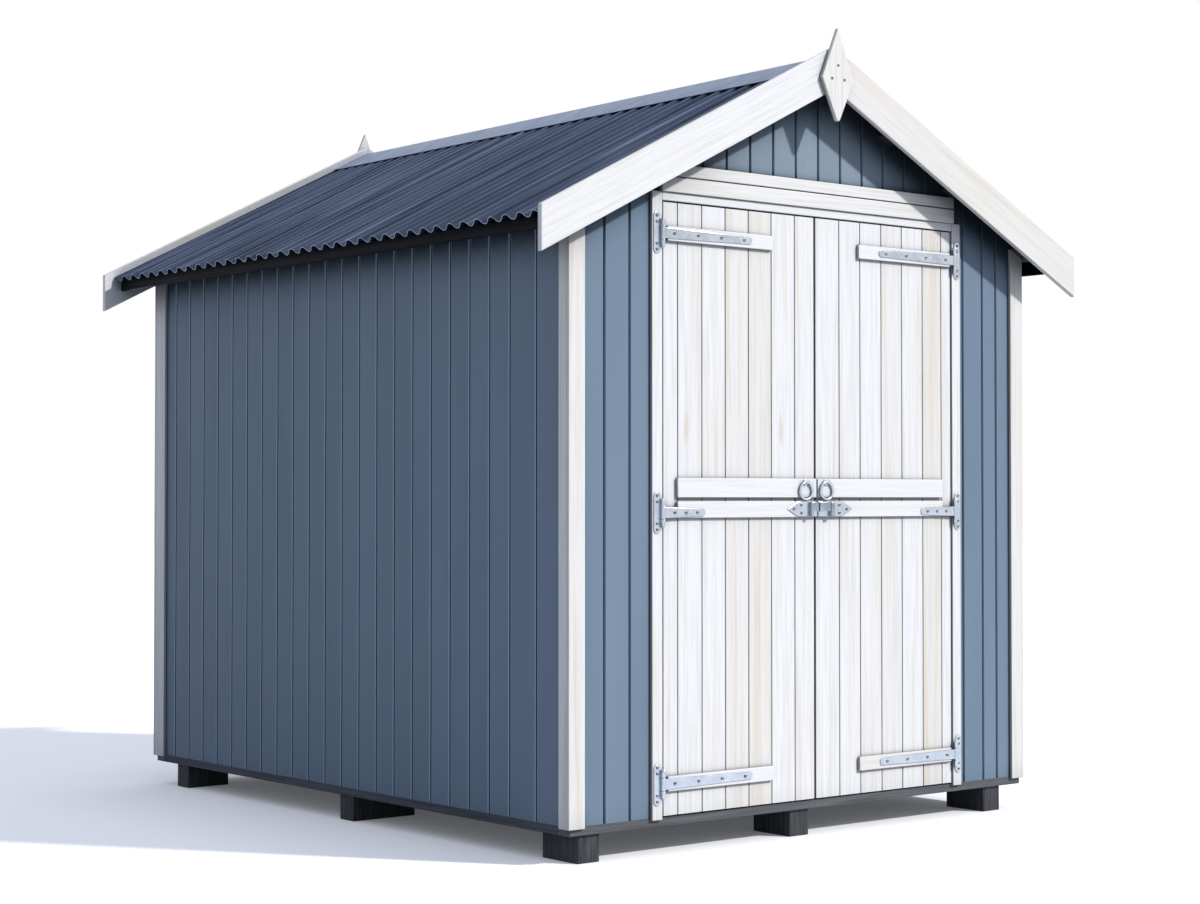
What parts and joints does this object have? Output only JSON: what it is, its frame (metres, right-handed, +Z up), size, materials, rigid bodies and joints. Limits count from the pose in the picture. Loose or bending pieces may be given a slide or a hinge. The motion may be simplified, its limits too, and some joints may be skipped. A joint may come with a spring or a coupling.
{
  "type": "wooden garden shed",
  "caption": "Timber garden shed on foot blocks with painted boarded walls, white trims, hinged double doors and a corrugated steel gable roof.",
  "frame": {"origin": "on the ground under the middle of the shed's plan", "axes": "+X to the right along the door front, +Y from the front to the back along the ridge, +Z up"},
  "size_m": [2.576, 3.001, 2.8061],
  "materials": {
    "cladding_paint": "satin painted tongue and groove boards",
    "white_timber": "white-washed softwood with the grain showing",
    "frame_timber": "planed bare softwood",
    "floor_timber": "dark stained softwood",
    "block_timber": "dark treated sawn timber",
    "roof_steel": "anthracite coil-coated corrugated steel",
    "cap_steel": "grey-blue coil-coated folded steel",
    "fascia_paint": "near-black painted board",
    "zinc": "bright zinc-plated pressed steel"
  },
  "bodies": {
    "shed": {"floor_deck": "floor_timber", "foot_blocks": "block_timber", "left_wall": "cladding_paint", "right_wall": "cladding_paint", "back_wall": "cladding_paint", "front_wall_left": "cladding_paint", "front_wall_right": "cladding_paint", "front_gable": "cladding_paint", "left_wall_studs": "frame_timber", "right_wall_studs": "frame_timber", "back_wall_studs": "frame_timber", "door_studs": "frame_timber", "wall_plates": "frame_timber", "roof_purlins": "floor_timber", "ridge_beam": "floor_timber", "door_jamb_left": "white_timber", "door_jamb_right": "white_timber", "door_head": "white_timber", "door_header": "white_timber", "roof_sheet_left": "roof_steel", "roof_sheet_right": "roof_steel", "ridge_cap": "cap_steel", "eave_fascia_left": "fascia_paint", "eave_fascia_right": "fascia_paint", "front_finial": "white_timber", "rear_finial": "white_timber", "left_hinge_plates": "zinc", "right_hinge_plates": "zinc", "front_left_trim": "white_timber", "front_left_bargeboard": "white_timber", "front_right_trim": "white_timber", "front_right_bargeboard": "white_timber", "rear_left_trim": "white_timber", "rear_left_bargeboard": "white_timber", "rear_right_trim": "white_timber", "rear_right_bargeboard": "white_timber"},
    "left_door": {"left_door_boards": "white_timber", "left_door_rails": "white_timber", "left_door_ledges": "white_timber", "left_door_braces": "white_timber", "left_door_straps": "zinc", "left_door_latch": "zinc"},
    "right_door": {"right_door_boards": "white_timber", "right_door_rails": "white_timber", "right_door_ledges": "white_timber", "right_door_braces": "white_timber", "right_door_straps": "zinc", "right_door_latch": "zinc"}
  },
  "joints": [
    {"name": "left_door_swing", "type": "hinge", "parent": "shed", "child": "left_door", "pos_m": [-0.711, -1.392, 1.136], "axis": [0, 0, -1], "range_deg": [0, 150]},
    {"name": "right_door_swing", "type": "hinge", "parent": "shed", "child": "right_door", "pos_m": [0.711, -1.392, 1.136], "axis": [0, 0, 1], "range_deg": [0, 150]}
  ]
}
